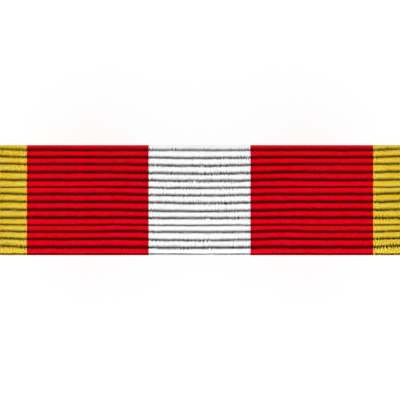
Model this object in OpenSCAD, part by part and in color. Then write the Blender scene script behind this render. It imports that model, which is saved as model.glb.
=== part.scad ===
// Ribbon bar: a striped, ribbed ribbon wrapped round a folded sheet-metal base plate.
// The base plate slides on a mounting bar, and the mounting bar's two soldered posts
// go through the wearer's cloth into a clutch each.
// The bar lies on its clutches with its front up: X runs along the ribs, Y across them, Z up.

/* [Ribbon] */
// Woven width of the ribbon, which is the length of the bar
ribbon_w = 34.925; // [30:0.025:50]
// Height of the front, over the folded ribbon
front_h = 9.525; // [9:0.025:14]
// Thickness of the ribbon at the crest of a rib
ribbon_t = 1; // [0.9:0.05:1.2]
// Distance from one rib to the next
rib_pitch = 0.65; // [0.55:0.01:0.75]
// Depth of the groove between two ribs
groove_depth = 0.16; // [0.12:0.01:0.2]
// Distance of the middle rib's crest above the centreline
rib_shift = 0.12; // [0:0.01:0.3]
// Outer radius of the ribbon's folds, over the crests
fold_r = 0.9; // [0.8:0.05:1.2]
// Width of the gold stripe at each end
gold_w = 2.45; // [1:0.01:4]
// Width of the white stripe in the middle
white_w = 8.84; // [4:0.02:14]
// How far the ribbon's cut ends stop short of the base plate's free edges
cut_setback = 0.15; // [0.1:0.05:0.5]

/* [Base plate] */
// Thickness of the sheet metal
sheet_t = 0.45; // [0.35:0.05:0.6]
// Outer radius of the bends
bend_r = 0.55; // [0.5:0.05:0.65]
// Width of the lip that is folded back along each long edge
lip_w = 2.1; // [1.6:0.05:2.2]
// How far each end of the plate stops inside the ribbon
plate_setback = 0.3; // [0.1:0.05:1]

/* [Mounting bar] */
// Thickness of the strip
strip_t = 0.6; // [0.5:0.05:1]
// How far each end of the strip stops inside the base plate
strip_setback = 0.2; // [0.1:0.05:1]
// Radius of the strip's corners
strip_corner_r = 0.8; // [0.4:0.1:1.6]
// Distance between the two posts
post_spacing = 19.05; // [17:0.05:21]
// Radius of a post
post_r = 0.55; // [0.45:0.05:0.7]
// Length of a post, from the strip to its tip
post_len = 8; // [7:0.1:8.4]
// Length of a post's pointed end
point_len = 1.2; // [0.8:0.1:1.6]
// Radius of a post's blunted tip
tip_r = 0.15; // [0.1:0.05:0.25]
// Radius of the soldered foot of a post
foot_r = 1.2; // [1:0.05:1.3]
// Thickness of the soldered foot of a post
foot_t = 0.35; // [0.25:0.05:0.5]

/* [Clutches] */
// Height of a clutch, from its flange to the tips of its wings
clutch_h = 4.8; // [4.6:0.1:5.4]
// Radius of the flange that bears on the cloth
flange_r = 4.2; // [3.6:0.1:4.4]
// Thickness of the flange
flange_t = 0.5; // [0.4:0.05:0.7]
// Radius of the hub behind the flange
hub_r = 2.6; // [2.2:0.1:3]
// Height of the hub
hub_h = 1.5; // [1.2:0.1:1.8]
// Radius of the hub's rounded edge
hub_edge_r = 0.5; // [0.2:0.05:0.6]
// Width of the wings
wing_w = 5; // [4:0.1:6]
// Thickness of the wings
wing_t = 0.5; // [0.4:0.05:0.6]
// Distance from the post to the first bend of a wing
wing_root = 1.3; // [1:0.1:1.6]
// Slope of the wings
wing_angle = 45; // [35:1:55]
// Radius of the wings' bends, along the middle of the sheet
wing_bend_r = 1; // [0.6:0.1:1.2]
// Length of the flat end of a wing, on which the bar lies
wing_flat = 0.9; // [0.7:0.1:1.3]
// Corner radius of the wings, seen from the back
wing_corner_r = 1; // [0.3:0.1:1.5]
// Depth to which the wings are sunk into the hub
weld_depth = 0.1; // [0.05:0.05:0.2]
// Space for the wearer's cloth, between the ribbon and the flanges
cloth_gap = 2.2; // [2.1:0.1:3]

/* [Clearances] */
// Gap between the ribbon and the base plate
ribbon_gap = 0.05; // [0.02:0.01:0.1]
// Gap between the mounting bar and the base plate, above, below and at the sides
slide_gap = 0.1; // [0.05:0.01:0.1]
// Gap between a post and the bore of its clutch
bore_gap = 0.05; // [0.03:0.01:0.1]

/* [Hidden] */
$fn = 48;

GOLD = [0.91, 0.76, 0.22];
RED = [0.89, 0.02, 0.10];
WHITE = [0.98, 0.98, 0.98];
BRASS = [0.80, 0.66, 0.36];
PALE_BRASS = [0.85, 0.74, 0.48];

// The channel that the mounting bar slides in, the base plate round it, and the ribbon round that
channel_gap = strip_t + 2 * slide_gap;
plate_h = front_h - 2 * (ribbon_t + ribbon_gap);
plate_t = channel_gap + 2 * sheet_t;
plate_l = ribbon_w - 2 * plate_setback;
wrap_t = plate_t + 2 * (ribbon_t + ribbon_gap);
lip_edge_y = plate_h / 2 - lip_w;

// Heights above the surface that the bar lies on
wrap_bottom_z = clutch_h + cloth_gap;
wrap_middle_z = wrap_bottom_z + wrap_t / 2;
strip_bottom_z = wrap_middle_z - strip_t / 2;

// A rib is a round cord whose crest touches the ribbon's outline
rib_r = (pow(groove_depth, 2) + pow(rib_pitch / 2, 2)) / (2 * groove_depth);
// The woven ground under the ribs lies deeper than the grooves, also where the ribs fan out
ground_depth = 2 * groove_depth;
cut_y = lip_edge_y + cut_setback;

// A wing's middle line over the flange's front, its drop to the flat end, and its run and reach along X
wing_middle_h = flange_t + hub_h - weld_depth + wing_t / 2;
wing_drop = clutch_h - wing_t / 2 - wing_middle_h;
wing_slope_l = (wing_drop - 2 * wing_bend_r * (1 - cos(wing_angle))) / sin(wing_angle);
wing_run = 2 * wing_bend_r * sin(wing_angle) + wing_slope_l * cos(wing_angle);
wing_reach = wing_root + wing_run + wing_flat;

// The stripes from left to right, each with its width and colour
WIDTH = 0;
COLOUR = 1;
red_w = (ribbon_w - white_w) / 2 - gold_w;
STRIPES = [[gold_w, GOLD], [red_w, RED], [white_w, WHITE], [red_w, RED], [gold_w, GOLD]];

function stripe_start(i) = i == 0 ? -ribbon_w / 2 : stripe_start(i - 1) + STRIPES[i - 1][WIDTH];

// The crest line, followed from the middle of the front over a fold to a cut end.
// Each value is the distance along it at which a stretch ends.
front_flat = front_h / 2 - fold_r;
fold_arc = fold_r * PI / 2;
end_of_front = front_flat;
end_of_first_fold = end_of_front + fold_arc;
end_of_side = end_of_first_fold + wrap_t - 2 * fold_r;
end_of_second_fold = end_of_side + fold_arc;
end_of_crest = end_of_second_fold + front_flat - cut_y;

function fold_angle(distance) = distance / fold_r * 180 / PI;

// Centre of the rib whose crest is at a distance s along the crest line: [y, height above the bar's middle]
function rib_centre(s) =
    s < 0 ? [-rib_centre(-s).x, rib_centre(-s).y] :
    s < end_of_front ? [s, wrap_t / 2 - rib_r] :
    s < end_of_first_fold ? fold_point(fold_angle(s - end_of_front)) :
    s < end_of_side ? [front_h / 2 - rib_r, wrap_t / 2 - fold_r - (s - end_of_first_fold)] :
    s < end_of_second_fold ? back_fold_point(fold_angle(s - end_of_side)) :
    [front_flat - (s - end_of_second_fold), rib_r - wrap_t / 2];

// The same centre within the front fold and within the back fold, by the angle turned so far
function fold_point(turn) =
    [front_flat + (fold_r - rib_r) * sin(turn), wrap_t / 2 - fold_r + (fold_r - rib_r) * cos(turn)];
function back_fold_point(turn) =
    [front_flat + (fold_r - rib_r) * cos(turn), fold_r - wrap_t / 2 - (fold_r - rib_r) * sin(turn)];

// A rectangle centred on the origin with round corners
module rounded_rect(w, h, r) {
    square([w - 2 * r, h], center = true);
    square([w, h - 2 * r], center = true);
    for (x = [-1, 1], y = [-1, 1])
        translate([x * (w / 2 - r), y * (h / 2 - r)])
            circle(r);
}

// Turns a profile drawn in Y and Z into a bar along X, centred on the bar's middle height
module along_bar(start_x, length) {
    translate([start_x, 0, wrap_middle_z])
        rotate([90, 0, 90])
            linear_extrude(length)
                children();
}

// The opening in the back of a wrapped profile, between two edges at a distance from the middle
module back_opening(edge_y) {
    translate([-edge_y, -wrap_t])
        square([2 * edge_y, wrap_t]);
}

// The ribbon's woven ground: a wall that hugs the base plate, open between the cut ends
module ribbon_ground() {
    difference() {
        rounded_rect(front_h - 2 * ground_depth, wrap_t - 2 * ground_depth, fold_r - ground_depth);
        rounded_rect(plate_h + 2 * ribbon_gap, plate_t + 2 * ribbon_gap, bend_r + ribbon_gap);
        back_opening(cut_y);
    }
}

// The ribs, side by side along the crest line from one cut end to the other
module ribbon_ribs() {
    last = floor(end_of_crest / rib_pitch) + 1;
    for (i = [-last : last]) {
        s = rib_shift + i * rib_pitch;
        if (abs(s) + rib_r <= end_of_crest)
            translate(rib_centre(s))
                circle(rib_r);
    }
}

module ribbon() {
    for (i = [0 : len(STRIPES) - 1])
        color(STRIPES[i][COLOUR])
            along_bar(stripe_start(i), STRIPES[i][WIDTH]) {
                ribbon_ground();
                ribbon_ribs();
            }
}

// Sheet metal with both long edges folded back, which leaves a channel between the lips
module base_plate() {
    color(BRASS)
        along_bar(-plate_l / 2, plate_l)
            difference() {
                rounded_rect(plate_h, plate_t, bend_r);
                rounded_rect(plate_h - 2 * sheet_t, channel_gap, bend_r - sheet_t);
                back_opening(lip_edge_y);
            }
}

// A post points down from the strip, with a foot that is soldered to it
module post() {
    sunk = strip_t / 2;
    translate([0, 0, -foot_t])
        cylinder(h = foot_t + sunk, r = foot_r);
    translate([0, 0, point_len - post_len])
        cylinder(h = post_len - point_len + sunk, r = post_r);
    translate([0, 0, -post_len])
        cylinder(h = point_len, r1 = tip_r, r2 = post_r);
}

module mounting_bar() {
    strip_l = plate_l - 2 * strip_setback;
    strip_w = plate_h - 2 * (sheet_t + slide_gap);
    color(BRASS)
        translate([0, 0, strip_bottom_z]) {
            linear_extrude(strip_t)
                rounded_rect(strip_l, strip_w, strip_corner_r);
            for (side = [-1, 1])
                translate([side * post_spacing / 2, 0, 0])
                    post();
        }
}

// Side view of a flat that ends at the origin, the bend after it, and the slope up to the next bend
module wing_bend(flat_l) {
    wedge = 2 * (wing_bend_r + wing_t);
    translate([-flat_l, -wing_t / 2])
        square([flat_l, wing_t]);
    translate([0, wing_bend_r])
        intersection() {
            difference() {
                circle(wing_bend_r + wing_t / 2);
                circle(wing_bend_r - wing_t / 2);
            }
            polygon([[0, 0], [0, -wedge], [wedge * sin(wing_angle), -wedge * cos(wing_angle)]]);
        }
    translate([wing_bend_r * sin(wing_angle), wing_bend_r * (1 - cos(wing_angle))])
        rotate(wing_angle)
            translate([0, -wing_t / 2])
                square([wing_slope_l, wing_t]);
}

// Both wings as one bent strip, whose middle line lies at height 0 over the hub
module wings() {
    intersection() {
        rotate([90, 0, 0])
            linear_extrude(2 * wing_w, center = true)
                for (side = [0, 1])
                    mirror([side, 0, 0])
                        translate([wing_root, 0]) {
                            wing_bend(wing_root);
                            translate([wing_run, wing_drop])
                                rotate(180)
                                    wing_bend(wing_flat);
                        }
        translate([0, 0, -clutch_h])
            linear_extrude(2 * clutch_h)
                rounded_rect(2 * wing_reach, wing_w, wing_corner_r);
    }
}

// The flange with its round rim, and the hub behind it, turned about the post
module clutch_body() {
    rim_r = flange_t / 2;
    rotate_extrude() {
        square([flange_r - rim_r, flange_t]);
        translate([flange_r - rim_r, rim_r])
            circle(rim_r);
        square([hub_r, flange_t + hub_h - hub_edge_r]);
        square([hub_r - hub_edge_r, flange_t + hub_h]);
        translate([hub_r - hub_edge_r, flange_t + hub_h - hub_edge_r])
            circle(hub_edge_r);
    }
}

// A clutch hangs below its flange, which faces the back of the bar
module clutch(x) {
    color(PALE_BRASS)
        translate([x, 0, clutch_h])
            rotate([180, 0, 0])
                difference() {
                    union() {
                        clutch_body();
                        translate([0, 0, wing_middle_h])
                            wings();
                    }
                    translate([0, 0, -clutch_h])
                        cylinder(h = 3 * clutch_h, r = post_r + bore_gap);
                }
}

module clutch_left() {
    clutch(-post_spacing / 2);
}

module clutch_right() {
    clutch(post_spacing / 2);
}

ribbon();
base_plate();
mounting_bar();
clutch_left();
clutch_right();
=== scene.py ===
"""Ribbon bar: a ribbed ribbon with gold, red and white stripes, wrapped round a brass bar.

The bar lies front up on its two clutches. X runs along the ribs, Y across them and Z up,
in metres. The camera looks straight down on the ribbon's front, with +Y up in the picture.
"""
from collections import namedtuple
import bmesh
import bpy
import numpy as np
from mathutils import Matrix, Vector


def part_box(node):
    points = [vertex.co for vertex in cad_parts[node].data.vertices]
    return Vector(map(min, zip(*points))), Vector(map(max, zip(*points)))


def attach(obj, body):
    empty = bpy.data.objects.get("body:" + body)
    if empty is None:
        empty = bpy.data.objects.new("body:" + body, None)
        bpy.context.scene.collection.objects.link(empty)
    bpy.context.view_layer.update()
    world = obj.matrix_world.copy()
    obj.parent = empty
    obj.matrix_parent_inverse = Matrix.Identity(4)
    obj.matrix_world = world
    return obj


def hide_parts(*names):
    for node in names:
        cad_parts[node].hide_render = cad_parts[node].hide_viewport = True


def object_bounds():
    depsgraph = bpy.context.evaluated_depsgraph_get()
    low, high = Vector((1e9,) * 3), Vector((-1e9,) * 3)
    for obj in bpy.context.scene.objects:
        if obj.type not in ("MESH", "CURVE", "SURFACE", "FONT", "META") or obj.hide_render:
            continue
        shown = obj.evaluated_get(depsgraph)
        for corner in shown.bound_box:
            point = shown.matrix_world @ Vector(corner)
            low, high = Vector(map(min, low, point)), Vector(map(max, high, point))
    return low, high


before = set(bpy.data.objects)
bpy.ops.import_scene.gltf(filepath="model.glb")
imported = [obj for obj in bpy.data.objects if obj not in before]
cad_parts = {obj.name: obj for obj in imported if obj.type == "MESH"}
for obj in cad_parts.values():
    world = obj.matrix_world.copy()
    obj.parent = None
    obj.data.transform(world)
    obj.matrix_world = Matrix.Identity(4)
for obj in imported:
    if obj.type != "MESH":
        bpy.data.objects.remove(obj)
cad_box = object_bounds()

MM = 0.001

# The folded ribbon
FOLD_R = 0.9 * MM
WALL_T = 1.0 * MM
INNER_FOLD_R = 0.6 * MM
CUT_Y = 1.7625 * MM
RIB_PITCH = 0.65 * MM
GROOVE_DEPTH = 0.16 * MM
EDGE_ROUND = 0.08 * MM
EDGE_SCALLOP = 0.07 * MM
END_ROUND = 0.12 * MM
# The share of the wall's thickness that is left at the tip of a rounded cut end
END_LEFT = 0.25
# How far the cloth stands out of the bar's nominal height at each long edge
CLOTH_PROUD = 0.025 * MM
# Rows of points over a rib, as shares of its width, and columns on the outer and half the inner face
RIB_ROWS = (0, 0.06, 0.14, 0.25, 0.4, 0.6, 0.75, 0.86, 0.94)
OUTER_COLUMNS = 220
HALF_INNER_COLUMNS = 6

# How deep into the wall's thickness a groove and the shade painted beside it show at the selvedge,
# and what is left further in
GROOVE_REACH = 0.62
LEAST_REACH = 0.03
# A higher power makes the crests broader and the grooves narrower
GROOVE_POWER = 2.6
# The share of GROOVE_DEPTH that every groove has, the share that grows with its size, and the
# size at which it grows no more
EVEN_DEPTH = 0.55
DEPTH_BY_SIZE = 0.45
DEEPEST_SIZE = 1.2
# How far the grooves wander from their lines, on the front and behind it
FRONT_WANDER = 0.012 * MM
BACK_WANDER = 0.014 * MM
WANDER_LENGTHS = (11 * MM, 5.3 * MM, 2.6 * MM, 1.3 * MM)
# Behind the front: size of the shallow groove just round the top edge, least and most size of the
# others, the share that they keep of the outermost front groove's waves, and the least width of the
# rib at a cut end, in pitches
# A groove's size sets its depth and the width of the shade painted beside it
TOP_EDGE_GROOVE = 0.5
BACK_SIZES = (0.8, 1.1)
WAVES_KEPT = 0.6
LEAST_END_RIB = 0.35

# Frayed yarns at each cut end: how many there are in a row, the rows' shares of the wall, how far
# single yarns lie off them, and what a yarn loses of its width to its tip
FRAYED_YARNS = 330
FRAYED_ROWS = (0.3, 0.68)
FRAY_OFF_ROW = 0.13
FRAY_TAPER = 0.67
# Least and most of a frayed yarn's length, half width, drifts and distance from its even place
FRAY_LENGTH = (0.1 * MM, 0.32 * MM)
FRAY_HALF_W = (0.03 * MM, 0.05 * MM)
FRAY_ASIDE = (-0.1 * MM, 0.1 * MM)
FRAY_UPWARD = (-0.08 * MM, 0.06 * MM)
FRAY_UNEVEN = (-0.04 * MM, 0.04 * MM)
# Where the frayed yarns lie in the pattern of a rib, which is near its crest, out of the painted shade
FRAY_IN_RIB = 0.45

# The base plate
SHEET_T = 0.45 * MM
PLATE_BEND_R = 0.55 * MM
PLATE_EDGE_R = 0.07 * MM
LIP_EDGE_Y = 1.6125 * MM
# An extra row of points lies this far from each long edge
EDGE_ROW = 0.08 * MM

# The mounting bar
STRIP_T = 0.6 * MM
STRIP_CORNER_R = 0.8 * MM
STRIP_EDGE_R = 0.1 * MM
POST_X = 9.525 * MM
POST_R = 0.55 * MM
POST_TIP_R = 0.15 * MM
TIP_ROUND = 0.08 * MM
FOOT_R = 1.2 * MM
FOOT_T = 0.35 * MM
SHANK_UNDER_FOOT = 0.1 * MM
# The posts' points and the notches over them, whose heights are over the tip
POINT_LEN = 1.2 * MM
POINT_ROUND = 0.3 * MM
NOTCH_HEIGHT = 1.9 * MM
NOTCH_DEPTH = 0.07 * MM
NOTCH_HALF = 0.2 * MM
NOTCH_FLOOR_HALF = 0.08 * MM
NOTCH_ROUND = 0.05 * MM

# The clutches
BORE_GAP = 0.05 * MM
FLANGE_T = 0.5 * MM
HUB_R = 2.6 * MM
HUB_H = 1.5 * MM
HUB_EDGE_R = 0.5 * MM
WING_W = 5.0 * MM
WING_T = 0.5 * MM
WING_ROOT = 1.3 * MM
WING_ANGLE = np.radians(45)
WING_BEND_R = 1.0 * MM
WING_FLAT = 0.9 * MM
WING_CORNER_R = 1.0 * MM
WING_EDGE_R = 0.12 * MM
WELD_DEPTH = 0.1 * MM
# Ridges for the fingers: their size, their places as shares of a wing's slope, and where they end
# and how far they fade, as shares of the wing's width
RIDGE_HALF = 0.16 * MM
RIDGE_HIGH = 0.12 * MM
RIDGE_PLACES = (0.3, 0.5, 0.7)
RIDGE_END = 0.44
RIDGE_FADE = 0.06
# Corners of a pressed profile: what the radius is counted from, the distance outward from there,
# the depth under the top or the wings, and the rounding. The clutch has a dimple round the bore, a
# rolled rim, a thinner web inside it and a hub with a small step
CLUTCH_PROFILE = (
    ("axis", 0, 0.35 * MM, 0),
    ("post", 0.2 * MM, 0.35 * MM, 0.1 * MM),
    ("post", 0.65 * MM, 0, 0.15 * MM),
    ("rim", 0, 0, 0.24 * MM),
    ("rim", 0, FLANGE_T, 0.24 * MM),
    ("rim", -0.62 * MM, FLANGE_T, 0.1 * MM),
    ("rim", -0.78 * MM, 0.36 * MM, 0.1 * MM),
    ("hub", 0.02 * MM, 0.36 * MM, 0.22 * MM),
    ("hub", -0.06 * MM, 0.95 * MM, 0.06 * MM),
    ("hub", 0, 1.05 * MM, 0.06 * MM),
    ("hub", 0, FLANGE_T + HUB_H, HUB_EDGE_R),
    ("axis", 0, FLANGE_T + HUB_H, 0))
EYELET_PROFILE = (
    ("axis", 0, -0.2 * MM, 0),
    ("post", 0.55 * MM, -0.2 * MM, 0.02 * MM),
    ("post", 0.5 * MM, 0.16 * MM, 0.14 * MM),
    ("axis", 0, 0.16 * MM, 0))

# Points on a quarter circle of metal, and sides of what is turned
ARC_POINTS = 9
CLUTCH_SIDES = 96
BORE_SIDES = 64
POST_SIDES = 48
# Points closer than this are one, edges rounded tighter than this are rubbed bright, and faces
# that meet at more than this angle are shaded apart
MERGE = 0.00005 * MM
RUB_RADIUS = 0.15 * MM
SHARP_ANGLE = np.radians(40)

# The front's grooves from the top edge down, as the photo shows them
HEIGHT, SAG, LIFT, END_LIFT, SIZE, MIDDLE_SIZE = range(6)
FRONT_GROOVES = np.array([
    # height over the centreline, sag in the middle, lift beside the white stripe and lift at the
    # bar's ends, all in mm; size of the hollow and of the shade painted beside it, towards the ends and
    # in the middle, where 1 is common
    (4.40, 0.00, 0.00, 0.10, 1.25, 1.20),
    (3.74, 0.06, 0.00, 0.09, 0.95, 0.98),
    (3.13, 0.12, 0.00, 0.06, 0.88, 1.04),
    (2.44, 0.12, 0.02, 0.07, 1.01, 1.08),
    (1.76, 0.06, 0.04, 0.04, 0.96, 1.10),
    (1.15, 0.07, 0.01, 0.00, 0.57, 0.96),
    (0.54, 0.11, 0.01, 0.09, 0.98, 0.95),
    (-0.12, 0.11, 0.00, 0.04, 0.99, 1.07),
    (-0.81, 0.13, -0.01, 0.02, 1.03, 1.02),
    (-1.50, 0.03, 0.02, 0.00, 1.05, 1.00),
    (-2.14, 0.02, 0.04, 0.05, 0.64, 0.69),
    (-2.72, 0.01, 0.05, 0.07, 0.87, 0.97),
    (-3.35, 0.10, 0.04, 0.09, 0.89, 0.95),
    (-4.06, 0.04, 0.02, 0.14, 1.17, 1.27),
    (-4.72, 0.01, 0.00, 0.00, 1.40, 1.20),
])
# How far from the bar's middle the sag and the middle size reach, where the lift beside the white
# stripe is greatest and how far it reaches, and how far the lift at the ends reaches inward
SAG_REACH = 8.5 * MM
SIZE_REACH = 14.0 * MM
LIFT_X = 7.0 * MM
LIFT_REACH = 3.2 * MM
END_REACH = 2.9 * MM

# A stripe's dye and the hue that it drifts to, and what part of its colour it keeps in a groove as
# painted shade. upper and lower say how far from the groove a rib's upper and lower flank come out
# of the painted shade and are fully lit, in rib pitches for a groove of size 1, and their third
# value is unused. ragged says how much single yarns and slow waves move the edge of that painted
# shade, and how much single yarns differ in it. mottle says how much single floats of yarn, broad
# clouds and warp streaks differ in brightness.
Stripe = namedtuple("Stripe", "dye drift shade upper lower ragged mottle")
GOLD = Stripe(
    dye=(0.79, 0.49, 0.007), drift=(0.77, 0.585, 0.066), shade=(0.125, 0.105, 0.10),
    upper=(0.165, 0.265, 0), lower=(-0.045, 0.36, 0), ragged=(0.29, 0.05, 3.2), mottle=(0.95, 0.09, 0.06))
PALE_GOLD = GOLD._replace(dye=(0.83, 0.60, 0.048), drift=(0.83, 0.60, 0.048), shade=(0.16, 0.24, 0.16))
RED = Stripe(
    dye=(0.765, 0.0002, 0.0025), drift=(0.725, 0.0020, 0.0160), shade=(0.11, 0.10, 0.10),
    upper=(0.12, 0.34, 0), lower=(-0.005, 0.45, 0), ragged=(0.07, 0.17, 1.1), mottle=(0.34, 0.26, 0.16))
WHITE = Stripe(
    dye=(0.93, 0.93, 0.93), drift=(0.93, 0.93, 0.93), shade=(0.11, 0.11, 0.11),
    upper=(0.14, 0.27, 0), lower=(-0.055, 0.35, 0), ragged=(0.25, 0.05, 5.0), mottle=(0.26, 0.03, 0.02))
# The gold selvedges fade from here to the bar's ends, to this share of their colour
FADE_FROM = 15.5 * MM
FADE_TO = 0.93
# Where each stripe after the first begins, from left to right
LATER_STRIPES = (
    (-15.10 * MM, PALE_GOLD), (-15.015 * MM, RED), (-4.445 * MM, WHITE),
    (4.365 * MM, RED), (15.02 * MM, PALE_GOLD), (15.105 * MM, GOLD))

# Width of a warp yarn in mm, how many floats of it follow each other over a rib, how far from its
# sides the end of a float is rounded, as a share of its width, and the relief of the yarns
YARN_PITCH = 0.0866
FLOATS_IN_A_RIB = 7.5
FLOAT_END_ROUND = 0.3
YARN_BUMP = 0.3
YARN_RELIEF = 0.04 * MM
# Cells of the weave from which a cell's own draw stands out: steps to the right and up, and what
# share of their draw is added
BESIDE = ((-1, 0, -0.35), (1, 0, -0.35))
ALL_ROUND = ((-1, 0, -0.28), (1, 0, -0.28), (0, -1, -0.25), (0, 1, -0.25))
# Grain of the noise in the weave, across it for each mm and along it for each rib
FUZZ_GRAIN = (7.0, 3.0)
CLOUD_GRAIN = (1.5, 1.0)
STREAK_GRAIN = 0.9
# A draw above the first value, one in a hundred, puts a painted nick of light into the painted
# shade on a rib's upper half, by the second value times the stripe's contrast of single yarns
NICKED_ABOVE = 0.49
NICK_LIGHT = 0.24
# How far the dye is drifted everywhere, and what clouds and single floats add. An edge, here and
# below, is the noise at which clouds or patches begin and the noise at which they are full
EVEN_DRIFT = 0.25
CLOUD_DRIFT = 0.5
FLOAT_DRIFT = 0.6
CLOUD_EDGE = (0.35, 0.65)
SILK_ROUGH = 0.7
SILK_SHEEN = 0.012

# The brass: grain for each mm of the tarnish's clouds and of the scratched patches, and their edges
TARNISH_GRAIN = 0.55
TARNISH_EDGE = (0.42, 0.68)
PATCH_GRAIN = 0.8
PATCH_EDGE = (0.45, 0.65)
# Sets of scratches: direction in radians and fineness. Then their tilt about X, their tilt about Y
# as a share of the direction, their grain along, across and down, and how far the noise is off its
# middle at a scratch's edge
SCRATCH_SETS = ((0.5, 0.9), (2.2, 1.3), (1.2, 0.7))
SCRATCH_TIP = 0.3
SCRATCH_ROLL = 0.4
SCRATCH_GRAIN = (0.12, 2.4, 1.1)
SCRATCH_EDGE = 0.007
SCRATCH_COLOUR = (1.0, 0.9, 0.62, 1.0)
SCRATCH_SHINE = 0.35
SCRATCH_HEIGHT = 0.5
# What the rolling grain and tarnish add, and what rubbing takes off tarnish and roughness
GRAIN_TARNISH = 0.25
GRAIN_ROUGH = 0.16
GRAIN_HEIGHT = 0.35
TARNISH_ROUGH = 0.22
RUBBED_CLEAN = 0.9
RUBBED_SMOOTH = 0.08
BRASS_BUMP = 0.35
BRASS_RELIEF = 0.02 * MM

# The picture
VIEW_W = 34.65 * MM
BAR_BELOW_CENTRE = 0.017 * MM
LENS_MM = 500.0
SENSOR_MM = 36.0
NEAREST_SEEN = 0.005
# The table: half its size, how far it lies under the bar, its grey for the light that it throws
# back, in a mirror and to the camera, and the light that the camera sees on it
TABLE_HALF = 1.5
TABLE_DROP = 0.02 * MM
TABLE_GREY = 0.9
MIRRORED_TABLE_GREY = 0.5
SEEN_TABLE_GREY = 0.2
SEEN_TABLE_GLOW = 0.83
# The room: its light, and how much brighter it is towards -Y and darker towards +Y. In a mirror:
# its light at the horizon, how high it is full, and where and how much its ends add
ROOM_LIGHT = 0.875
ROOM_SLANT = 0.2
HORIZON_LIGHT = 0.25
FULL_LIGHT_Z = 0.6
ENDS_X = (0.5, 0.8)
ENDS_LIGHT = 0.2
# The lamps: length and width, distance from the bar, angle from overhead, and power
LAMP_SIZE = (0.30, 0.12)
LAMP_AWAY = 0.3
LAMP_TILT = np.radians(62)
LAMP_WATTS = 0.215


def smooth_step(x):
    """3 x squared minus 2 x cubed, with x held between 0 and 1."""
    x = np.clip(x, 0, 1)
    return x * x * (3 - 2 * x)


def folded_line(station, half_h, top_z, back_z, fold_r, end_y):
    """Half of a line that is folded round the bar, by its station along it.

    Stations 0 to 1 are the flat front, 1 to 2 the first fold, 2 to 3 the side, 3 to 4 the
    second fold and 4 to 5 the flat back as far as end_y. The folds are quarter circles, so y
    adds the flats and r sin(turn), and z drops by r (1 - cos(turn)). Gives y, z and turn.
    """
    front, first, side, second, back = (np.clip(station - k, 0, 1) for k in range(5))
    turn = (first + second) * np.pi / 2
    flat = half_h - fold_r
    y = front * flat + fold_r * np.sin(turn) - back * (flat - end_y)
    z = top_z - fold_r * (1 - np.cos(turn)) - side * (top_z - back_z - 2 * fold_r)
    return y, z, turn


def crest_knots(half_h, thick, fold_r, end_y):
    """Distances along half the crest line at which stations 0 to 5 lie."""
    flat = half_h - fold_r
    arc = fold_r * np.pi / 2
    return np.cumsum([0, flat, arc, thick - 2 * fold_r, arc, flat - end_y])


def distance_of_height(y, half_h, fold_r):
    """Distance along the crest line of a point of the front, by its height over the centreline.

    It is y on the flat, and on a fold the flat and r times the angle whose sine is the rest over r.
    """
    flat = half_h - fold_r
    past = np.clip(np.abs(y) - flat, 0, 0.999 * fold_r)
    return np.sign(y) * (np.minimum(np.abs(y), flat) + fold_r * np.arcsin(past / fold_r))


def wander(x, count, amplitude, random):
    """For each of count threads, a sum of four sines along x with drawn wavelengths and phases."""
    total = np.zeros((count, len(x)))
    for wavelength in WANDER_LENGTHS:
        pitch = wavelength * random.uniform(0.8, 1.25, (count, 1))
        phase = random.uniform(0, 2 * np.pi, (count, 1))
        total += np.sin(2 * np.pi * x / pitch + phase) / 2
    return amplitude * total


def groove_lines(x, half_h, end_s, random):
    """Distances of all grooves along the crest line at each x, cut end to cut end, and their sizes.

    The front's grooves follow FRONT_GROOVES. Those round the folds and on the back follow
    from the outermost of them, one pitch apart, up to each cut end.
    """
    sag = smooth_step(1 - np.abs(x) / SAG_REACH)
    lift = smooth_step(1 - np.abs(np.abs(x) - LIFT_X) / LIFT_REACH)
    end_lift = smooth_step(1 - (np.abs(x).max() - np.abs(x)) / END_REACH)
    middle = smooth_step(1 - np.abs(x) / SIZE_REACH)
    rows = FRONT_GROOVES[::-1, :, None]
    y = MM * (rows[:, HEIGHT] - rows[:, SAG] * sag + rows[:, LIFT] * lift + rows[:, END_LIFT] * end_lift)
    front = distance_of_height(y + wander(x, len(rows), FRONT_WANDER, random), half_h, FOLD_R)
    sizes = rows[:, SIZE] + (rows[:, MIDDLE_SIZE] - rows[:, SIZE]) * middle

    def beyond(edge):
        """The grooves past an outermost one, with the cut end as the last, and their sizes."""
        mean = np.abs(edge).mean()
        count = int((end_s - mean) / RIB_PITCH - LEAST_END_RIB)
        steps = RIB_PITCH * np.arange(1, count + 1)[:, None]
        calmed = mean + (np.abs(edge) - mean) * WAVES_KEPT
        grooves = calmed + steps + wander(x, count, BACK_WANDER, random)
        drawn = np.append(random.uniform(*BACK_SIZES, count), 1.0)
        return np.vstack([grooves, np.full_like(x, end_s)]), np.repeat(drawn[:, None], len(x), axis=1)

    upper, upper_sizes = beyond(front[-1])
    upper_sizes[0] = TOP_EDGE_GROOVE
    lower, lower_sizes = beyond(front[0])
    lines = np.vstack([-lower[::-1], front, upper])
    return lines, np.vstack([lower_sizes[::-1], sizes, upper_sizes])


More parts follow.
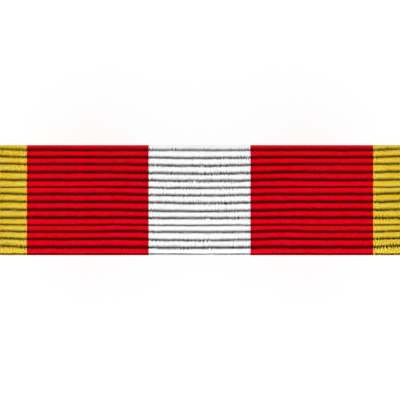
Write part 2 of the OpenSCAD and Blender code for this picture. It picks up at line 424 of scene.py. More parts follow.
def section_columns(half_w):
    """The ribbon's section, all the way round from the middle of its inner face.

    Each column has x, the share of the wall's thickness at which it lies (0 on the outer face,
    1 on the inner face), and its place across the weave. A selvedge is rounded, with x = half_w
    less EDGE_ROUND times the fourth power of |2 share - 1|. Across the weave it goes on from the
    outer face by the wall's thickness, and the inner face has the places of the outer one.
    """
    outer = np.linspace(-1, 1, OUTER_COLUMNS) * (half_w - EDGE_ROUND)
    inner = np.linspace(0.08, 1, HALF_INNER_COLUMNS) * (half_w - EDGE_ROUND)
    edge_share = np.array([0.04, 0.12, 0.22, 0.35, 0.5, 0.65, 0.8, 0.92])
    edge_x = half_w - EDGE_ROUND * np.abs(2 * edge_share - 1) ** 4
    edge_across = half_w + WALL_T * edge_share
    x = np.concatenate([-inner, -edge_x[::-1], outer, edge_x, inner[::-1]])
    across = np.concatenate([-inner, -edge_across[::-1], outer, edge_across, inner[::-1]])
    share = np.concatenate([0 * inner + 1, edge_share[::-1], 0 * outer, edge_share, 0 * inner + 1])
    return x, share, across


def mesh_object(name, points, faces, material, smooth=True):
    """A mesh object at the origin from an array of points and arrays of faces."""
    mesh = bpy.data.meshes.new(name)
    mesh.from_pydata(points.reshape(-1, 3), [], faces)
    mesh.polygons.foreach_set("use_smooth", np.full(len(mesh.polygons), smooth))
    mesh.materials.append(material)
    mesh.update()
    piece = bpy.data.objects.new(name, mesh)
    bpy.context.scene.collection.objects.link(piece)
    return piece


def ring_quads(index):
    """Quads between the rows of a grid of point numbers, where each row closes on itself."""
    ahead = np.roll(index, -1, axis=1)
    return np.stack([index[:-1], ahead[:-1], ahead[1:], index[1:]], axis=-1).reshape(-1, 4)


def closed_tube_faces(rows, columns):
    """Quads of a grid that closes on itself across its columns, and a face over each open end."""
    index = np.arange(rows * columns).reshape(rows, columns)
    return ring_quads(index).tolist() + [index[0][::-1].tolist(), index[-1].tolist()]


def store_weave(piece, across, rib, size):
    """Stores what the weave's material reads at each point.

    That is its place across the weave in mm, its count of ribs from a cut end, and the size of the
    nearer groove's painted shade over the rib's width in pitches.
    """
    weave = np.stack(np.broadcast_arrays(across, rib, size), axis=-1)
    attribute = piece.data.attributes.new("weave", "FLOAT_VECTOR", "POINT")
    attribute.data.foreach_set("vector", weave.astype(np.float32).ravel())


def make_ribbon(material):
    """The ribbon: its section, carried along the crest line from one cut end to the other.

    Between two grooves at distances s0 and s1 a row lies at s0 + f (s1 - s0), and is sunk
    by depth |2 f - 1| to a power, which is 0 on the rib's crest and the full depth in a groove.
    """
    low, high = (np.array(corner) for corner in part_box("ribbon"))
    half_w, half_h = high[0], high[1] + CLOTH_PROUD
    random = np.random.default_rng(7)
    x, share, across = section_columns(half_w)
    knots = crest_knots(half_h, high[2] - low[2], FOLD_R, CUT_Y)
    lines, sizes = groove_lines(x, half_h, knots[-1], random)

    ribs = len(lines) - 1
    rib = np.append(np.repeat(np.arange(ribs), len(RIB_ROWS)), ribs - 1)
    fraction = np.append(np.tile(RIB_ROWS, ribs), 1.0)
    width = lines[rib + 1] - lines[rib]
    s = lines[rib] + fraction[:, None] * width
    # A groove's size sets its depth and the width of the shade painted beside it in the colour
    size = np.where(fraction[:, None] < 0.5, sizes[rib], sizes[rib + 1])
    shade = size * RIB_PITCH / width
    reach = np.maximum(1 - smooth_step(share / GROOVE_REACH), LEAST_REACH)
    deep = EVEN_DEPTH + DEPTH_BY_SIZE * np.minimum(size, DEEPEST_SIZE)
    hollow = np.abs(2 * fraction[:, None] - 1) ** GROOVE_POWER * deep * reach
    count = rib + fraction

    # Two more rows round off each cut end, and carry the pattern on by these shares of a rib
    turn = np.array([0.5, 1.0]) * np.pi / 2
    past_cut = np.array([0.15, 0.5])
    ends = np.concatenate([turn[::-1], np.zeros(len(s)), turn])
    pick = np.concatenate([[0, 0], np.arange(len(s)), [len(s) - 1] * 2])
    s, hollow, shade = s[pick], hollow[pick], shade[pick] * reach
    count = count[pick] + np.concatenate([-past_cut[::-1], np.zeros(len(s) - 4), past_cut])

    station = np.interp(np.abs(s), knots, np.arange(6))
    y_out, z_out, turned_by = folded_line(station, half_h, high[2], low[2], FOLD_R, CUT_Y)
    y_in, z_in, _ = folded_line(
        station, half_h - WALL_T, high[2] - WALL_T, low[2] + WALL_T, INNER_FOLD_R, CUT_Y)
    sunk = GROOVE_DEPTH * hollow
    y_out, z_out = y_out - sunk * np.sin(turned_by), z_out - sunk * np.cos(turned_by)
    thinned = 0.5 + (share - 0.5) * (END_LEFT + (1 - END_LEFT) * np.cos(ends[:, None]))
    y = y_out + thinned * (y_in - y_out) - END_ROUND * np.sin(ends[:, None])
    z = z_out + thinned * (z_in - z_out)
    drawn_in = EDGE_SCALLOP * hollow * np.clip((np.abs(x) - half_w) / EDGE_ROUND + 2, 0, 1)
    points = np.stack([x - np.sign(x) * drawn_in, np.sign(s) * y, z], axis=-1)

    piece = mesh_object("ribbon_cloth", points, closed_tube_faces(*s.shape), material)
    store_weave(piece, across / MM, count[:, None], shade)
    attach(piece, "root")
    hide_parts("ribbon")
    cut_yarns(material)
    return piece


def cut_yarns(material):
    """Frayed ends of the yarns along both cut ends, each a four-sided spike that bends a little.

    The ring at share k of a spike lies k times its length out of the cut, with a sideways and an
    upright drift that grow with k squared, and its half width falls from full to a third.
    """
    low, high = (np.array(corner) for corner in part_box("ribbon"))
    random = np.random.default_rng(11)
    count = 2 * len(FRAYED_ROWS) * FRAYED_YARNS
    side = np.repeat([-1.0, 1.0], count // 2)[:, None, None]
    off_row = random.uniform(-FRAY_OFF_ROW, FRAY_OFF_ROW, count)
    share = np.tile(np.repeat(FRAYED_ROWS, FRAYED_YARNS), 2) + off_row
    places = np.linspace(low[0], high[0], FRAYED_YARNS + 2)[1:-1]

    def drawn(span):
        return random.uniform(*span, count)[:, None, None]

    k = np.linspace(0, 1, 4)[:, None]
    corner = np.array([(1, 1), (-1, 1), (-1, -1), (1, -1)])
    root_x = np.tile(places, 2 * len(FRAYED_ROWS))[:, None, None] + drawn(FRAY_UNEVEN)
    root_z = (low[2] + WALL_T * share)[:, None, None]
    length = drawn(FRAY_LENGTH)
    drift_x = drawn(FRAY_ASIDE)
    drift_z = drawn(FRAY_UPWARD)
    half = drawn(FRAY_HALF_W) * (1 - FRAY_TAPER * k)
    x = root_x + drift_x * k ** 2 + half * corner[:, 0]
    y = side * (CUT_Y - length * k) + 0 * x
    z = root_z + drift_z * k ** 2 + half * corner[:, 1]

    index = np.arange(16).reshape(4, 4)
    spike = np.vstack([ring_quads(index), index[:1, ::-1], index[-1:]])
    faces = spike + 16 * np.arange(count)[:, None, None]
    faces[count // 2:] = faces[count // 2:, :, ::-1]
    points = np.stack([x, y, z], axis=-1)
    piece = mesh_object("cut_yarns", points, faces.reshape(-1, 4).tolist(), material)
    store_weave(piece, x / MM, FRAY_IN_RIB, 1.0)
    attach(piece, "root")
    return piece


def bent_line(s, bends):
    """Follows a bent line from the origin, first along u, for the distances s.

    Each row of bends is a length and the angle that it turns by. On a turning stretch of radius
    r = length / angle, u grows by r times the change in the heading's sine and v falls by r
    times the change in its cosine. Gives u, v and the heading.
    """
    u, v, heading = np.zeros_like(s), np.zeros_like(s), np.zeros_like(s)
    start, course = 0.0, 0.0
    for length, turn in bends:
        done = np.clip(s - start, 0, length)
        bent = turn * done / length
        if turn:
            u += length / turn * (np.sin(course + bent) - np.sin(course))
            v -= length / turn * (np.cos(course + bent) - np.cos(course))
        else:
            u += done * np.cos(course)
            v += done * np.sin(course)
        heading += bent
        start, course = start + length, course + turn
    return u, v, heading


def round_cornered(length, half_w, corner_r):
    """Half the width of a round-cornered plate at distances s from one end, drawn in by d.

    That is half_w - corner_r + the root of (corner_r - d) squared less the depth into the
    corner squared.
    """
    def half_width(s, d):
        into = np.clip(corner_r - np.minimum(s, length - s), 0, corner_r - d)
        return half_w - corner_r + np.sqrt((corner_r - d) ** 2 - into ** 2)
    return half_width


def stations_along(length, corner_r, count):
    """Distances along a round-cornered plate, count of them on its straight and closer in its corners."""
    corner = corner_r * (1 - np.cos(np.linspace(0, np.pi / 2, ARC_POINTS)))
    straight = np.linspace(corner_r, length - corner_r, count)
    return np.unique(np.round(np.concatenate([corner, length - corner, straight]), 9))


def shares_across(count, *extra):
    """Even shares from -1 to 1 across a plate, and extra ones on both sides of its middle."""
    extra = np.array(extra)
    return np.unique(np.concatenate([np.linspace(-1, 1, count), -extra, extra]))


def outward(points, faces):
    """Turns all faces round if the closed surface holds a negative volume."""
    corners = points[faces]
    first, second, third, fourth = (corners[:, k] for k in range(4))
    volume = np.einsum("ij,ij->", first, np.cross(second, third) + np.cross(third, fourth))
    return faces if volume > 0 else faces[:, ::-1]


def sheet_metal(place, length, half_width, thick, edge_r, stations, across):
    """A closed plate with rounded edges, given on its developed outline.

    place(s, w, h) puts a point that lies s along the plate, w across it and h over its middle
    surface. Both faces are grids over the outline, drawn in by edge_r. The rim between them is
    a stack of loops at heights thick / 2 - edge_r (1 - cos a), drawn in by edge_r (1 - sin a).
    """
    def grid(drawn_in, h):
        s = drawn_in + stations[:, None] / length * (length - 2 * drawn_in)
        w = across * half_width(s, drawn_in)
        return place(s + 0 * w, w, np.full(w.shape, h))

    rows, columns = len(stations), len(across)
    index = np.arange(rows * columns).reshape(rows, columns)
    border = np.concatenate([index[0], index[1:, -1], index[-1, -2::-1], index[-2:0:-1, 0]])
    turn = np.linspace(0, np.pi / 2, 5)[1:]
    drawn = edge_r * (1 - np.sin(turn))
    height = thick / 2 - edge_r * (1 - np.cos(turn))
    layers = [(edge_r, thick / 2)] + list(zip(drawn, height))
    layers += [(d, -h) for d, h in layers[::-1]]
    grids = [grid(d, h).reshape(-1, 3) for d, h in layers]
    points = np.vstack([grids[0]] + [g[border] for g in grids[1:-1]] + [grids[-1]])

    top = np.stack([index[:-1, :-1], index[1:, :-1], index[1:, 1:], index[:-1, 1:]], axis=-1).reshape(-1, 4)
    last = rows * columns + (len(grids) - 2) * len(border)
    between = np.arange(rows * columns, last).reshape(-1, len(border))
    rim = ring_quads(np.vstack([border, between, border + last]))
    faces = np.vstack([top, top[:, ::-1] + last, rim])
    return points, outward(points, faces)


def filleted(corners, steps=6):
    """A line of radius and height whose corners are rounded by arcs.

    The corners are rows of radius, height and rounding. An arc's middle lies on the halving line
    of its corner, at the rounding over the sine of half the corner's angle.
    """
    corners = np.array(corners, dtype=float)
    line = [corners[:1, :2]]
    for before, here, after in zip(corners[:-2], corners[1:-1], corners[2:]):
        back, ahead = before[:2] - here[:2], after[:2] - here[:2]
        back, ahead = back / np.linalg.norm(back), ahead / np.linalg.norm(ahead)
        half = np.arccos(back @ ahead) / 2
        middle = here[:2] + (back + ahead) / np.linalg.norm(back + ahead) * here[2] / np.sin(half)
        start = here[:2] + back * here[2] / np.tan(half) - middle
        end = here[:2] + ahead * here[2] / np.tan(half) - middle
        sweep = np.pi - 2 * half
        t = np.linspace(0, 1, steps)[:, None]
        line.append(middle + (np.sin((1 - t) * sweep) * start + np.sin(t * sweep) * end) / np.sin(sweep))
    return np.vstack(line + [corners[-1:, :2]])


def pressed_line(profile, start_z, rim_r=0.0):
    """The rounded line of a pressed profile, whose depths are counted down from start_z."""
    radius = {"axis": 0.0, "post": POST_R, "hub": HUB_R, "rim": rim_r}
    return filleted([(radius[part] + out, start_z - down, rounding) for part, out, down, rounding in profile])


def turned(line, axis_x, sides):
    """A line of radius and height, turned about an upright axis, whose two ends lie on the axis.

    Each end is a ring of no size, so that every face is a quad, and the doubles are merged later.
    """
    a = np.linspace(0, 2 * np.pi, sides, endpoint=False)
    radius, height = line[:, :1], line[:, 1:]
    points = np.stack([axis_x + radius * np.cos(a), radius * np.sin(a), height + 0 * a], axis=-1)
    points = points.reshape(-1, 3)
    return points, outward(points, ring_quads(np.arange(len(line) * sides).reshape(-1, sides)))


def one_solid(name, material, body, added=(), bored=()):
    """Joins closed surfaces into one solid and bores it, and marks where its convex edges get rubbed."""
    shells = [mesh_object(name if k == 0 else "shell", points, faces.tolist(), material)
              for k, (points, faces) in enumerate([body, *added, *bored])]
    for shell in shells:
        work = bmesh.new()
        work.from_mesh(shell.data)
        bmesh.ops.remove_doubles(work, verts=work.verts, dist=MERGE)
        bmesh.ops.dissolve_degenerate(work, edges=work.edges, dist=MERGE)
        work.to_mesh(shell.data)
        work.free()
    piece = shells[0]
    for k, shell in enumerate(shells[1:]):
        cut = piece.modifiers.new("join", "BOOLEAN")
        cut.operation = "UNION" if k < len(added) else "DIFFERENCE"
        cut.solver = "EXACT"
        cut.object = shell
    joined = bpy.data.meshes.new_from_object(piece.evaluated_get(bpy.context.evaluated_depsgraph_get()))
    piece.modifiers.clear()
    piece.data = joined
    joined.name = name
    for shell in shells[1:]:
        bpy.data.objects.remove(shell)
    joined.polygons.foreach_set("use_smooth", np.ones(len(joined.polygons), dtype=bool))
    joined.set_sharp_from_angle(angle=SHARP_ANGLE)
    mark_rubbed_edges(joined)
    piece.modifiers.new("even_flats", "WEIGHTED_NORMAL").keep_sharp = True
    return piece


def mark_rubbed_edges(mesh):
    """Stores for each point how convex the surface is there, from 0 on a flat to 1 on a tight edge.

    An edge's bend is the angle between its faces over the distance of their centres, positive
    where the centres part along the change of normal. A point takes the largest of its edges.
    """
    def read(collection, name, width, kind=np.float64):
        values = np.empty(len(collection) * width, dtype=kind)
        collection.foreach_get(name, values)
        return values.reshape(-1, width) if width > 1 else values

    normal, centre = read(mesh.polygons, "normal", 3), read(mesh.polygons, "center", 3)
    face_of_loop = np.repeat(np.arange(len(mesh.polygons)), read(mesh.polygons, "loop_total", 1, np.int32))
    edge_of_loop = read(mesh.loops, "edge_index", 1, np.int32)
    order = np.argsort(edge_of_loop, kind="stable")
    edges, firsts = np.unique(edge_of_loop[order], return_index=True)
    one, two = face_of_loop[order[firsts]], face_of_loop[order[firsts + 1]]
    apart = centre[two] - centre[one]
    angle = np.arccos(np.clip(np.einsum("ij,ij->i", normal[one], normal[two]), -1, 1))
    parting = np.einsum("ij,ij->i", normal[two] - normal[one], apart)
    bend = np.sign(parting) * angle / np.linalg.norm(apart, axis=1)
    ends = read(mesh.edges, "vertices", 2, np.int32)[edges]
    rubbed = np.zeros(len(mesh.vertices))
    np.maximum.at(rubbed, ends.ravel(), np.repeat(np.clip(bend * RUB_RADIUS, 0, 1), 2))
    mesh.attributes.new("rubbed", "FLOAT", "POINT").data.foreach_set("value", rubbed.astype(np.float32))


def hardware(node, piece):
    """Lets a metal piece stand for its node and ride with the bar."""
    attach(piece, "root")
    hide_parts(node)
    return piece


def make_base_plate(material):
    """Sheet brass whose long edges are folded back: a sheet of metal on a line with four bends."""
    low, high = (np.array(corner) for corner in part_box("base_plate"))
    flat = high[1] - PLATE_BEND_R
    bend = ((PLATE_BEND_R - SHEET_T / 2) * np.pi / 2, np.pi / 2)
    side = (high[2] - low[2] - 2 * PLATE_BEND_R, 0)
    folded_edge = ((flat - LIP_EDGE_Y, 0), bend, side, bend)
    bends = folded_edge + ((2 * flat, 0),) + folded_edge[::-1]
    knots = np.cumsum([0] + [length for length, _ in bends])
    in_bends = [np.linspace(a, b, ARC_POINTS) for a, b in zip(knots[1:-2:2], knots[2:-1:2])]
    near_edges = (EDGE_ROW, knots[-1] - EDGE_ROW)
    stations = np.unique(np.concatenate([knots, *in_bends, near_edges]))

    def place(s, w, h):
        u, v, heading = bent_line(s, bends)
        y = LIP_EDGE_Y + u - h * np.sin(heading)
        z = low[2] + SHEET_T / 2 + v + h * np.cos(heading)
        return np.stack([w, y, z], axis=-1)

    def half_width(s, d):
        return high[0] - d + 0 * s

    across = shares_across(41, 0.993)
    plate = sheet_metal(place, knots[-1], half_width, SHEET_T, PLATE_EDGE_R, stations, across)
    return hardware("base_plate", one_solid("folded_plate", material, plate))


def make_mounting_bar(material):
    """A flat strip with two posts.

    Each post is turned, with a fillet of solder at its foot that is a quarter of an ellipse, and
    with a notch near its point.
    """
    low, high = (np.array(corner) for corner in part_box("mounting_bar"))
    strip_z = high[2] - STRIP_T / 2
    length = 2 * high[0]

    def place(s, w, h):
        return np.stack([s - high[0], w, strip_z + h], axis=-1)

    outline = round_cornered(length, high[1], STRIP_CORNER_R)
    stations = stations_along(length, STRIP_CORNER_R, 41)
    strip = sheet_metal(place, length, outline, STRIP_T, STRIP_EDGE_R, stations, shares_across(13))

    foot_z, notch_z, point_z = high[2] - STRIP_T, low[2] + NOTCH_HEIGHT, low[2] + POINT_LEN
    a = np.linspace(0, np.pi / 2, ARC_POINTS)
    solder = np.stack([FOOT_R - (FOOT_R - POST_R) * np.sin(a), foot_z - FOOT_T * (1 - np.cos(a))], axis=-1)
    shank = filleted([
        (POST_R, foot_z - FOOT_T - SHANK_UNDER_FOOT, 0),
        (POST_R, notch_z + NOTCH_HALF, NOTCH_ROUND),
        (POST_R - NOTCH_DEPTH, notch_z + NOTCH_FLOOR_HALF, NOTCH_ROUND),
        (POST_R - NOTCH_DEPTH, notch_z - NOTCH_FLOOR_HALF, NOTCH_ROUND),
        (POST_R, notch_z - NOTCH_HALF, NOTCH_ROUND),
        (POST_R, point_z, POINT_ROUND),
        (POST_TIP_R, low[2], TIP_ROUND),
        (0, low[2], 0)])
    line = np.vstack([[(0, strip_z), (FOOT_R, strip_z)], solder, shank])
    posts = [turned(line, side * POST_X, POST_SIDES) for side in (-1, 1)]
    return hardware("mounting_bar", one_solid("pin_bar", material, strip, added=posts))


def make_clutch(name, axis_x, material):
    """A flange with a rolled rim, a hub and two bent wings, bored for the post.

    The wings are one strip on a line with four bends. Its ridges for the fingers are bell curves
    along it, e to the minus square of the distance over RIDGE_HALF.
    """
    _, high = (np.array(corner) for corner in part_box(name))
    top = high[2]
    body = turned(pressed_line(CLUTCH_PROFILE, top, high[1]), axis_x, CLUTCH_SIDES)

    middle_z = top - FLANGE_T - HUB_H + WELD_DEPTH - WING_T / 2
    under_wings = middle_z - WING_T / 2
    slope = (under_wings - 2 * WING_BEND_R * (1 - np.cos(WING_ANGLE))) / np.sin(WING_ANGLE)
    arc = WING_BEND_R * WING_ANGLE
    wing = ((WING_FLAT, 0), (arc, WING_ANGLE), (slope, 0), (arc, -WING_ANGLE))
    bends = wing + ((2 * WING_ROOT, 0),) + wing[::-1]
    length = sum(stretch for stretch, _ in bends)
    end_u = bent_line(np.array([length]), bends)[0][0]
    ridge_s = WING_FLAT + arc + slope * np.array(RIDGE_PLACES)

    def place(s, w, h):
        u, v, heading = bent_line(s, bends)
        near = np.minimum(s, length - s)
        ridges = sum(np.exp(-((near - centre) / RIDGE_HALF) ** 2) for centre in ridge_s)
        h = h + RIDGE_HIGH * ridges * smooth_step((RIDGE_END - np.abs(w / WING_W)) / RIDGE_FADE)
        x = axis_x + u - end_u / 2 - h * np.sin(heading)
        z = WING_T / 2 + v + h * np.cos(heading)
        return np.stack([x, w, z], axis=-1)

    outline = round_cornered(length, WING_W / 2, WING_CORNER_R)
    stations = stations_along(length, WING_CORNER_R, 161)
    wings = sheet_metal(place, length, outline, WING_T, WING_EDGE_R, stations, shares_across(21, 0.85, 0.97))

    eyelet = turned(pressed_line(EYELET_PROFILE, under_wings), axis_x, BORE_SIDES)
    bore_r = POST_R + BORE_GAP
    bore_line = np.array([(0, top + MM), (bore_r, top + MM), (bore_r, -MM), (0, -MM)])
    bore = turned(bore_line, axis_x, BORE_SIDES)
    pressed_name = name.replace("clutch", "pressed_clutch")
    clutch = one_solid(pressed_name, material, body, added=[wings, eyelet], bored=[bore])
    return hardware(name, clutch)


class Nodes:
    """Places nodes in one node tree and links them."""

    def __init__(self, tree):
        self.tree = tree

    def add(self, kind, inputs=None, **settings):
        """A node with these settings, and constants or linked sockets as its inputs."""
        node = self.tree.nodes.new("ShaderNode" + kind)
        for name, value in settings.items():
            setattr(node, name, value)
        for name, value in (inputs or {}).items():
            self.feed(node.inputs[name], value)
        return node

    def feed(self, socket, value):
        """Links a socket to an input, or sets the input to a constant."""
        if isinstance(value, bpy.types.NodeSocket):
            self.tree.links.new(value, socket)
        else:
            socket.default_value = value

    def math(self, operation, *values):
        node = self.add("Math", operation=operation)
        for socket, value in zip(node.inputs, values):
            self.feed(socket, value)
        return node.outputs[0]

    def weighted(self, total, *terms):
        """total, and each term's value times its weight."""
        for value, weight in terms:
            total = self.math("MULTIPLY_ADD", value, weight, total)
        return total

    def centred(self, value):
        """A value between 0 and 1, less a half."""
        return self.math("SUBTRACT", value, 0.5)

    def ramp(self, value, start, end, low=0.0, high=1.0, kind="SMOOTHSTEP"):
        """low up to start, high from end on, and between them a smooth rise or a straight one."""
        node = self.add("MapRange", interpolation_type=kind, inputs={
            "Value": value, "From Min": start, "From Max": end, "To Min": low, "To Max": high})
        return node.outputs["Result"]

    def noise(self, place, scale, detail, output="Fac"):
        return self.add("TexNoise", {"Vector": place, "Scale": scale, "Detail": detail}).outputs[output]

    def parts(self, vector):
        return self.add("SeparateXYZ", {"Vector": vector}).outputs

    def choose(self, share, a, b):
        """The vector a where share is 0, and b where it is 1."""
        node = self.add("Mix", data_type="VECTOR")
        for index, value in ((0, share), (4, a), (5, b)):
            self.feed(node.inputs[index], value)
        return node.outputs[1]

    def mix(self, share, a, b, blend="MIX"):
        """The colour a, blended with a share of b."""
        node = self.add("Mix", data_type="RGBA", blend_type=blend)
        for index, value in ((0, share), (6, a), (7, b)):
            self.feed(node.inputs[index], value)
        return node.outputs[2]


def grey(value):
    return (value, value, value, 1.0)


def new_material(name):
    """An empty material, and the Nodes that fill it."""
    material = bpy.data.materials.new(name)
    material.use_nodes = True
    material.node_tree.nodes.clear()
    return material, Nodes(material.node_tree)


def finish_material(nodes, sockets):
    """Adds the shader with these inputs, and the output."""
    shader = nodes.add("BsdfPrincipled", inputs=sockets)
    nodes.add("OutputMaterial", inputs={"Surface": shader.outputs[0]})


def ribbed_silk():
    """Warp yarns in stripes, floated over thick weft cords, with grooves between the cords.

    Shade in the grooves and on the cords' flanks is painted into the colour.
    """
    material, n = new_material("striped_ribbed_weave")
    across, rib, size = n.parts(n.add("Attribute", attribute_name="weave").outputs["Vector"])
    place, _, _ = n.parts(n.add("TexCoord").outputs["Object"])

    def at(x, y):
        return n.add("CombineXYZ", {"X": x, "Y": y}).outputs[0]

    def weave_noise(grain, detail, output="Fac"):
        per_mm, per_rib = grain
        spot = at(n.math("MULTIPLY", across, per_mm), n.math("MULTIPLY", rib, per_rib))
        return n.noise(spot, 1.0, detail, output)

    def per_cell(column, row, neighbours=()):
        """Three drawn values about zero for each cell, with shares of the neighbours' values."""
        cells = ((0, 0, 1.0), *neighbours)
        total = (-0.5 * sum(share for _, _, share in cells),) * 3
        for right, up, share in cells:
            cell = at(n.math("ADD", column, right), n.math("ADD", row, up))
            drawn = n.add("TexWhiteNoise", {"Vector": cell}, noise_dimensions="2D").outputs["Color"]
            sum_inputs = {0: drawn, 1: (share,) * 3, 2: total}
            total = n.add("VectorMath", sum_inputs, operation="MULTIPLY_ADD").outputs[0]
        return n.parts(total)

    yarn = n.math("DIVIDE", across, YARN_PITCH)
    to_yarn_edge = n.math("PINGPONG", yarn, 0.5)
    float_end = n.ramp(to_yarn_edge, 0.0, FLOAT_END_ROUND)
    column, row = n.math("FLOOR", yarn), n.math("FLOOR", rib)
    float_row = n.math("FLOOR", n.math("MULTIPLY", rib, FLOATS_IN_A_RIB))
    above, beneath, painted_shade_speck = per_cell(column, row, BESIDE)
    fleck, _, _ = per_cell(column, float_row, ALL_ROUND)
    # Half a row on lie draws that nothing else uses
    painted_nick, _, _ = per_cell(column, n.math("ADD", row, 0.5))

    fuzz = weave_noise(FUZZ_GRAIN, 1.0)
    cloud, hue, _ = n.parts(weave_noise(CLOUD_GRAIN, 2.0, "Color"))
    streak_inputs = {"W": n.math("MULTIPLY", across, STREAK_GRAIN), "Scale": 1.0, "Detail": 4.0}
    streak = n.add("TexNoise", streak_inputs, noise_dimensions="1D").outputs["Fac"]

    stripe = GOLD
    for edge, later in LATER_STRIPES:
        past = n.math("GREATER_THAN", place, edge)
        stripe = [n.choose(past, here, there) for here, there in zip(stripe, later)]
    dye, drift, shade, upper, lower, ragged, mottle = stripe
    upper_start, upper_end, _ = n.parts(upper)
    lower_start, lower_end, _ = n.parts(lower)
    by_yarn, by_wave, by_speck = n.parts(ragged)
    by_float, by_cloud, by_streak = n.parts(mottle)

    def painted_shade_edge(jitter):
        """How far the edge of the painted shade moves, by single yarns with rounded ends and by slow waves.
        """
        loop = n.math("MULTIPLY", n.math("MULTIPLY", jitter, by_yarn), float_end)
        return n.weighted(loop, (n.centred(fuzz), by_wave))

    # Painted shade: a rib's flanks darken into each groove, and the groove keeps only a share of the colour,
    # which single yarns vary; a few nicked yarns are painted lighter in that shade
    part = n.math("FRACT", rib)
    over = n.math("ADD", n.math("DIVIDE", part, size), painted_shade_edge(above))
    under = n.math("ADD", n.math("DIVIDE", n.math("SUBTRACT", 1.0, part), size), painted_shade_edge(beneath))
    painted_lit = n.math("MULTIPLY", n.ramp(over, lower_start, lower_end), n.ramp(under, upper_start, upper_end))
    painted_nick = n.math("MULTIPLY", n.math("GREATER_THAN", painted_nick, NICKED_ABOVE), n.math("GREATER_THAN", part, 0.5))
    painted_lit = n.math("MAXIMUM", painted_lit, n.math("MULTIPLY", n.math("MULTIPLY", painted_nick, by_speck), NICK_LIGHT))
    painted_shade_speck = n.math("MAXIMUM", n.weighted(1.0, (painted_shade_speck, by_speck)), 0.0)
    bright = n.mix(painted_lit, n.mix(1.0, shade, painted_shade_speck, "MULTIPLY"), grey(1.0))

    clouded = n.ramp(hue, *CLOUD_EDGE)
    drifted = n.weighted(EVEN_DRIFT, (clouded, CLOUD_DRIFT), (fleck, FLOAT_DRIFT))
    mottled = n.weighted(1.0, (fleck, by_float), (n.centred(cloud), by_cloud), (n.centred(streak), by_streak))
    fade = n.ramp(n.math("ABSOLUTE", place), FADE_FROM, cad_box[1][0], 1.0, FADE_TO, "LINEAR")
    colour = n.mix(1.0, n.mix(drifted, dye, drift), n.math("MULTIPLY", mottled, fade), "MULTIPLY")
    # The painted shade darkens the dyed colour
    colour = n.mix(1.0, colour, bright, "MULTIPLY")

    bump = n.add("Bump", {"Height": to_yarn_edge, "Strength": YARN_BUMP, "Distance": YARN_RELIEF})
    finish_material(n, {"Base Color": colour, "Roughness": SILK_ROUGH, "Specular IOR Level": SILK_SHEEN,
                        "Normal": bump.outputs[0]})
    return material


def brass_finish():
    """A node group for brass.

    It has tarnish in broad clouds, rolling grain, hairline scratches and bright rubbed edges. A
    scratch is where a stretched noise passes through its middle value.
    """
    group = bpy.data.node_groups.new("brass_finish", "ShaderNodeTree")
    for name, kind in (("Bright", "Color"), ("Tarnish", "Color"), ("Tarnish Amount", "Float"),
                       ("Polish", "Float"), ("Grain Stretch", "Vector")):
        group.interface.new_socket(name=name, in_out="INPUT", socket_type="NodeSocket" + kind)
    for name, kind in (("Color", "Color"), ("Roughness", "Float"), ("Normal", "Vector")):
        group.interface.new_socket(name=name, in_out="OUTPUT", socket_type="NodeSocket" + kind)
    n = Nodes(group)
    bright, tarnish, amount, polish, stretch = group.nodes.new("NodeGroupInput").outputs[:5]

    place = n.add("TexCoord").outputs["Object"]
    in_mm = n.add("VectorMath", {0: place, "Scale": 1 / MM}, operation="SCALE").outputs[0]
    cloud_inputs = {"Vector": in_mm, "Scale": TARNISH_GRAIN, "Detail": 4.0, "Roughness": 0.6}
    cloud = n.add("TexNoise", cloud_inputs).outputs["Fac"]
    along = n.add("VectorMath", {0: in_mm, 1: stretch}, operation="MULTIPLY").outputs[0]
    grain = n.noise(along, 1.0, 2.0)
    rubbed = n.add("Attribute", attribute_name="rubbed").outputs["Fac"]

    scratches = 0.0
    for angle, fineness in SCRATCH_SETS:
        turn = n.add("Mapping", {"Vector": in_mm, "Rotation": (SCRATCH_TIP, angle * SCRATCH_ROLL, angle),
                                 "Scale": [grain_of * fineness for grain_of in SCRATCH_GRAIN]})
        off_middle = n.math("ABSOLUTE", n.centred(n.noise(turn.outputs[0], 1.0, 1.0)))
        line = n.ramp(off_middle, 0.0, SCRATCH_EDGE, 1.0, 0.0)
        scratches = n.math("MAXIMUM", scratches, line)
    patchy = n.ramp(n.noise(in_mm, PATCH_GRAIN, 0.0), *PATCH_EDGE)
    scratches = n.math("MULTIPLY", scratches, patchy)

    uneven = n.centred(grain)
    dulled = n.ramp(n.weighted(cloud, (uneven, GRAIN_TARNISH)), *TARNISH_EDGE)
    dulled = n.math("MULTIPLY", dulled, amount)
    dulled = n.math("MULTIPLY", dulled, n.weighted(1.0, (rubbed, -RUBBED_CLEAN)))
    colour = n.mix(dulled, bright, tarnish)
    colour = n.mix(n.math("MULTIPLY", scratches, SCRATCH_SHINE), colour, SCRATCH_COLOUR)
    rough = n.weighted(polish, (dulled, TARNISH_ROUGH), (uneven, GRAIN_ROUGH), (rubbed, -RUBBED_SMOOTH))
    height = n.weighted(0.0, (grain, GRAIN_HEIGHT), (scratches, -SCRATCH_HEIGHT))
    bump = n.add("Bump", {"Height": height, "Strength": BRASS_BUMP, "Distance": BRASS_RELIEF}).outputs[0]

    result = group.nodes.new("NodeGroupOutput")
    for name, value in (("Color", colour), ("Roughness", rough), ("Normal", bump)):
        group.links.new(value, result.inputs[name])
    return group


def brass(name, finish, bright, tarnish, amount, polish, stretch):
    """Brass with the shared finish, in its own colours, tarnish, polish and direction of grain."""
    material, n = new_material(name)
    node = n.add("Group", node_tree=finish)
    for socket, value in (("Bright", bright), ("Tarnish", tarnish), ("Tarnish Amount", amount),
                          ("Polish", polish), ("Grain Stretch", stretch)):
        n.feed(node.inputs[socket], value)
    finish_material(n, {"Base Color": node.outputs["Color"], "Metallic": 1.0,
                        "Roughness": node.outputs["Roughness"], "Normal": node.outputs["Normal"]})
    return material


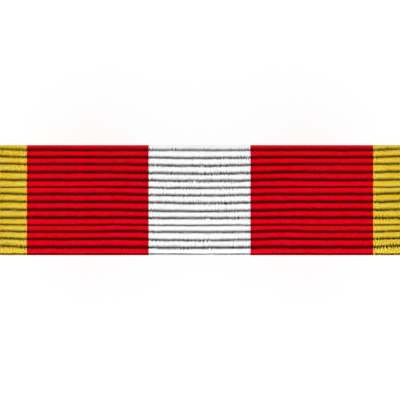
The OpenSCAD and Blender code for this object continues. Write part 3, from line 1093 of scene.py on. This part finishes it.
def pale_table():
    """A table that the camera sees as white and that metal mirrors as grey."""
    material, n = new_material("pale_table")
    path = n.add("LightPath").outputs
    seen = path["Is Camera Ray"]
    pale = n.mix(path["Is Glossy Ray"], grey(TABLE_GREY), grey(MIRRORED_TABLE_GREY))
    finish_material(n, {"Base Color": n.mix(seen, pale, grey(SEEN_TABLE_GREY)), "Roughness": 0.9,
                        "Specular IOR Level": 0.0, "Emission Color": grey(1.0),
                        "Emission Strength": n.math("MULTIPLY", seen, SEEN_TABLE_GLOW)})
    corners = TABLE_HALF * np.array([(-1, -1, 0), (1, -1, 0), (1, 1, 0), (-1, 1, 0)]) - (0, 0, TABLE_DROP)
    mesh_object("table", corners, [[0, 1, 2, 3]], material, smooth=False)


def white_room():
    """A room that the camera sees as white.

    It lights a little more from -Y than from +Y. Metal mirrors it as darker towards the horizon and
    brighter overhead and at both ends.
    """
    world = bpy.data.worlds.new("room")
    bpy.context.scene.world = world
    world.use_nodes = True
    world.node_tree.nodes.clear()
    n = Nodes(world.node_tree)
    x, y, z = n.parts(n.add("TexCoord").outputs["Generated"])
    path = n.add("LightPath").outputs
    even = n.weighted(ROOM_LIGHT, (y, -ROOM_SLANT))
    overhead = n.ramp(z, 0.0, FULL_LIGHT_Z, HORIZON_LIGHT, 1.0)
    ends = n.ramp(n.math("ABSOLUTE", x), *ENDS_X, 0.0, ENDS_LIGHT)
    strength = n.mix(path["Is Glossy Ray"], even, n.math("ADD", overhead, ends))
    strength = n.mix(path["Is Camera Ray"], strength, grey(1.0))
    room = n.add("Background", {"Color": strength, "Strength": 1.0})
    n.add("OutputWorld", {"Surface": room.outputs[0]})
    bpy.context.scene.view_settings.view_transform = "Standard"


def long_lamps():
    """A long lamp low on each side of the bar, turned towards it."""
    for side in (-1, 1):
        data = bpy.data.lights.new("lamp", "AREA")
        data.shape = "RECTANGLE"
        data.size, data.size_y = LAMP_SIZE
        data.energy = LAMP_WATTS
        lamp = bpy.data.objects.new("lamp", data)
        lamp.location = (0, side * LAMP_AWAY * np.sin(LAMP_TILT), LAMP_AWAY * np.cos(LAMP_TILT))
        lamp.rotation_euler = (-side * LAMP_TILT, 0, 0)
        lamp.visible_camera = False
        bpy.context.scene.collection.objects.link(lamp)


def photo_camera(face_z):
    """Looks straight down from where the ribbon's front fills the picture's width."""
    data = bpy.data.cameras.new("camera")
    data.lens = LENS_MM
    data.sensor_width = SENSOR_MM
    data.clip_start = NEAREST_SEEN
    camera = bpy.data.objects.new("camera", data)
    camera.location = (0, BAR_BELOW_CENTRE, face_z + VIEW_W * LENS_MM / SENSOR_MM)
    bpy.context.scene.collection.objects.link(camera)
    bpy.context.scene.camera = camera


photo_camera(cad_box[1][2])
pale_table()
white_room()
long_lamps()
make_ribbon(ribbed_silk())
finish = brass_finish()
rolled = brass("rolled_brass", finish, bright=(0.76, 0.51, 0.18, 1), tarnish=(0.36, 0.21, 0.08, 1),
               amount=0.75, polish=0.32, stretch=(0.9, 18.0, 18.0))
pressed = brass("pressed_brass", finish, bright=(0.85, 0.59, 0.21, 1), tarnish=(0.50, 0.31, 0.11, 1),
                amount=0.5, polish=0.20, stretch=(3.0, 3.0, 9.0))
make_base_plate(rolled)
make_mounting_bar(rolled)
make_clutch("clutch_left", -POST_X, pressed)
make_clutch("clutch_right", POST_X, pressed)
